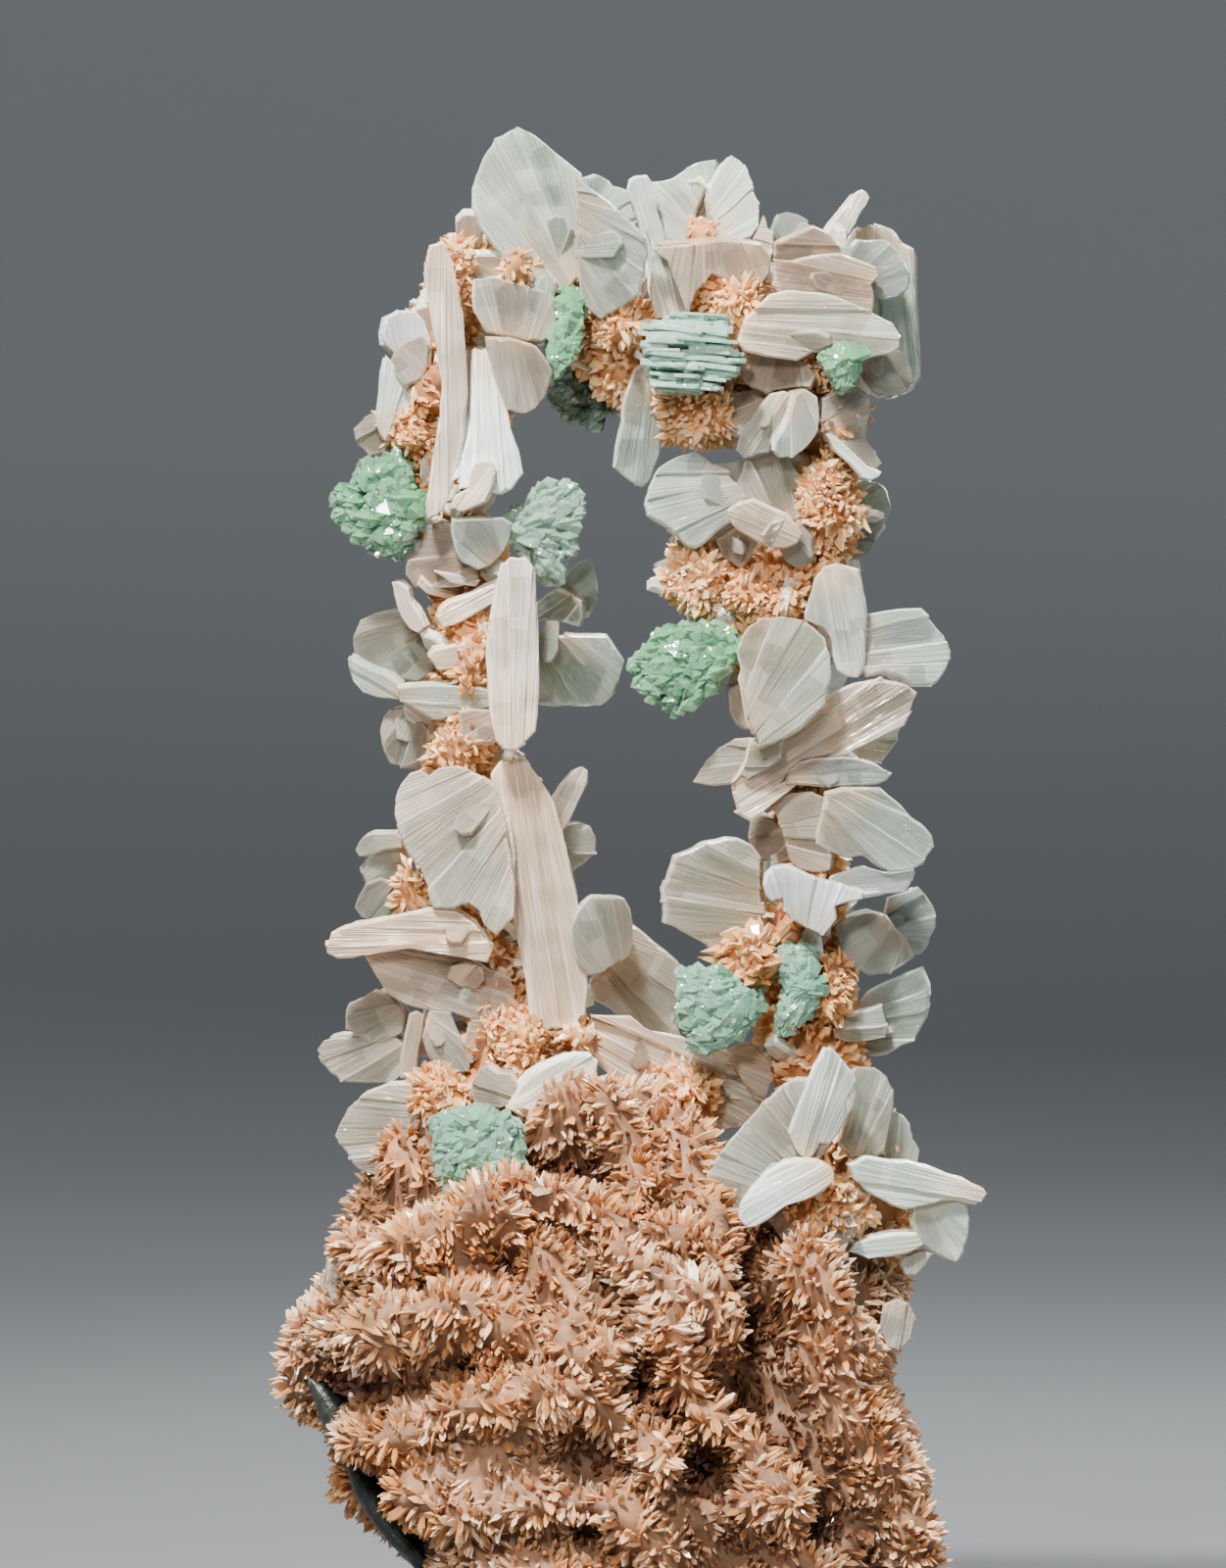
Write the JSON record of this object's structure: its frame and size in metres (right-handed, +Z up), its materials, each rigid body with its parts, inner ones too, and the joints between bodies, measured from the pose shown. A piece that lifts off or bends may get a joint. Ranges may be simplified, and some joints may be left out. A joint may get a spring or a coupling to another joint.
{
  "type": "fluorapophyllite specimen",
  "caption": "Free-standing mineral specimen: druse-coated foot carrying a slim arch set with pearly blades and green leaf-like crystal fans; stands on its flat cut base.",
  "frame": {"origin": "middle of the flat cut under the matrix foot", "axes": "+Z up along the arch, -Y the face shown in the picture, +X to the right of that face"},
  "size_m": [0.0758, 0.0565, 0.1723],
  "materials": {
    "matrix_druse": "sparkling druse on rough matrix, peach to brown",
    "stilbite": "pearly, milky translucent, white to beige",
    "fluorapophyllite": "glassy, translucent green"
  },
  "bodies": {
    "root": {"apophyllite_foot": "fluorapophyllite", "apophyllite_low_middle": "fluorapophyllite", "apophyllite_pale_fans": "fluorapophyllite", "apophyllite_pearly": "fluorapophyllite", "apophyllite_shaded": "fluorapophyllite", "apophyllite_shoulder": "fluorapophyllite", "apophyllite_slim": "fluorapophyllite", "apophyllite_sparkling": "fluorapophyllite", "apophyllite_upper_left": "fluorapophyllite", "apophyllite_window": "fluorapophyllite", "arch_bridge": "matrix_druse", "left_pillar": "matrix_druse", "matrix_foot": "matrix_druse", "right_pillar": "matrix_druse", "stilbite_back_foot_left": "stilbite", "stilbite_back_foot_right": "stilbite", "stilbite_back_left": "stilbite", "stilbite_back_left_low": "stilbite", "stilbite_back_right": "stilbite", "stilbite_back_right_low": "stilbite", "stilbite_back_right_top": "stilbite", "stilbite_back_top": "stilbite", "stilbite_big_sheaf": "stilbite", "stilbite_clear_bar": "stilbite", "stilbite_clear_plate": "stilbite", "stilbite_crest": "stilbite", "stilbite_crest_right": "stilbite", "stilbite_dusky_fan": "stilbite", "stilbite_edge_blade": "stilbite", "stilbite_foot_left_fan": "stilbite", "stilbite_foot_pair": "stilbite", "stilbite_foot_right_sheaf": "stilbite", "stilbite_foot_right_spray": "stilbite", "stilbite_hanging_clear": "stilbite", "stilbite_hanging_finger": "stilbite", "stilbite_left_block": "stilbite", "stilbite_left_shoulder": "stilbite", "stilbite_left_small": "stilbite", "stilbite_left_stack": "stilbite", "stilbite_left_tablets": "stilbite", "stilbite_low_clear": "stilbite", "stilbite_low_left_fan": "stilbite", "stilbite_pearly_blade": "stilbite", "stilbite_pink_blade": "stilbite", "stilbite_rear_plates": "stilbite", "stilbite_right_arm": "stilbite", "stilbite_right_arm_clear": "stilbite", "stilbite_right_shoulder": "stilbite", "stilbite_striated_sheaf": "stilbite", "stilbite_tablet_sheaf": "stilbite", "stilbite_top_left_fan": "stilbite", "stilbite_white_polygon": "stilbite", "stilbite_window_fan": "stilbite", "stilbite_wing": "stilbite"}
  },
  "joints": []
}
